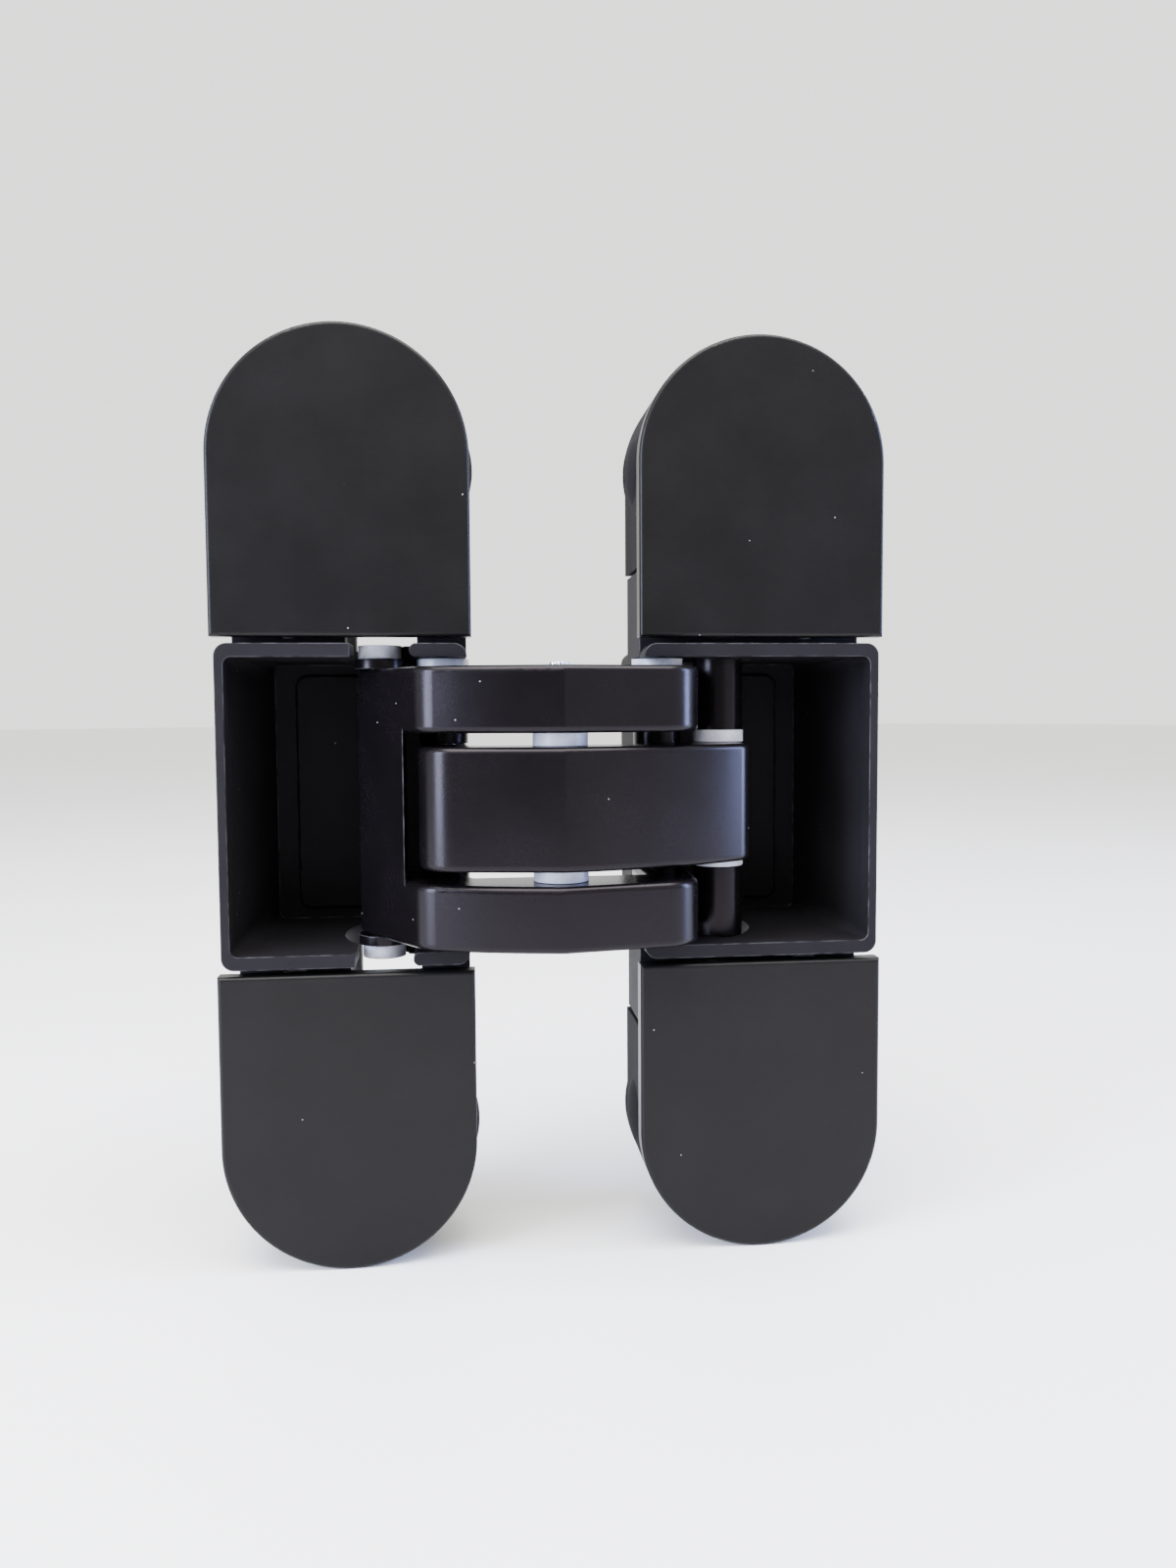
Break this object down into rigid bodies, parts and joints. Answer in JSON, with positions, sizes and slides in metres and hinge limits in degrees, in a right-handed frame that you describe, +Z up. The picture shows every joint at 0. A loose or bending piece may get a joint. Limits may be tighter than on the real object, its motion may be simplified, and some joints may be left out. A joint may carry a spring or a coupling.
{
  "type": "concealed door hinge",
  "caption": "Concealed invisible door hinge with two mortised leaves and crossed guide arms that fold into their pockets.",
  "frame": {"origin": "middle of the open hinge's bounding box, on the ground under its lower ends", "axes": "+Z up along the leaves, +X from the left leaf to the right leaf, +Y into the door"},
  "size_m": [0.0862, 0.0396, 0.1185],
  "materials": {
    "black_coat": "satin black coating on cast zinc",
    "black_caps": "matt black coating on the face caps and blocks",
    "grey_plastic": "light grey moulded bearing plastic",
    "steel_pins": "plain steel"
  },
  "bodies": {
    "left_frame": {"left_upper_block": "black_caps", "left_lower_block": "black_caps", "left_upper_cap": "black_caps", "left_lower_cap": "black_caps"},
    "left_pocket": {"left_pocket": "black_coat", "left_upper_adjuster": "steel_pins", "left_lower_adjuster": "steel_pins", "left_pivot_pin": "steel_pins", "left_pivot_washers": "grey_plastic", "left_pivot_sleeves": "black_coat"},
    "centre_arm": {"centre_arm": "black_coat", "centre_pin": "steel_pins", "centre_washers": "grey_plastic", "right_guide_pin": "steel_pins", "right_guide_rollers": "grey_plastic", "right_guide_washers": "grey_plastic", "right_guide_sleeves": "black_coat"},
    "fork_arm": {"fork_arm": "black_coat", "left_guide_pin": "steel_pins", "left_guide_rollers": "grey_plastic", "left_guide_sleeves": "black_coat"},
    "right_pocket": {"right_pocket": "black_coat", "right_upper_adjuster": "steel_pins", "right_lower_adjuster": "steel_pins", "right_pivot_pin": "steel_pins", "right_pivot_washers": "grey_plastic", "right_pivot_sleeve": "black_coat"},
    "right_frame": {"right_upper_block": "black_caps", "right_lower_block": "black_caps", "right_upper_cap": "black_caps", "right_lower_cap": "black_caps"}
  },
  "joints": [
    {"name": "left_depth_adjust", "type": "slide", "parent": "left_frame", "child": "left_pocket", "axis": [0, 1, 0], "range_m": [-0.0012, 0.0012]},
    {"name": "main_swing", "type": "hinge", "parent": "left_pocket", "child": "centre_arm", "pos_m": [-0.0143, -0.0007, 0], "axis": [0, 0, -1], "range_deg": [0, 101.21]},
    {"name": "cross_swing", "type": "hinge", "parent": "centre_arm", "child": "fork_arm", "pos_m": [0, -0.0137, 0], "axis": [0, 0, 1], "range_deg": [0, 22.42]},
    {"name": "right_swing", "type": "hinge", "parent": "fork_arm", "child": "right_pocket", "pos_m": [0.0143, -0.0007, 0], "axis": [0, 0, -1], "range_deg": [0, 101.21]},
    {"name": "right_depth_adjust", "type": "slide", "parent": "right_pocket", "child": "right_frame", "axis": [0, 1, 0], "range_m": [-0.0012, 0.0012]}
  ],
  "couplings": [
    {"joint": "cross_swing", "follows": "main_swing", "ratio": 0.22151},
    {"joint": "right_swing", "follows": "main_swing", "ratio": 1}
  ]
}
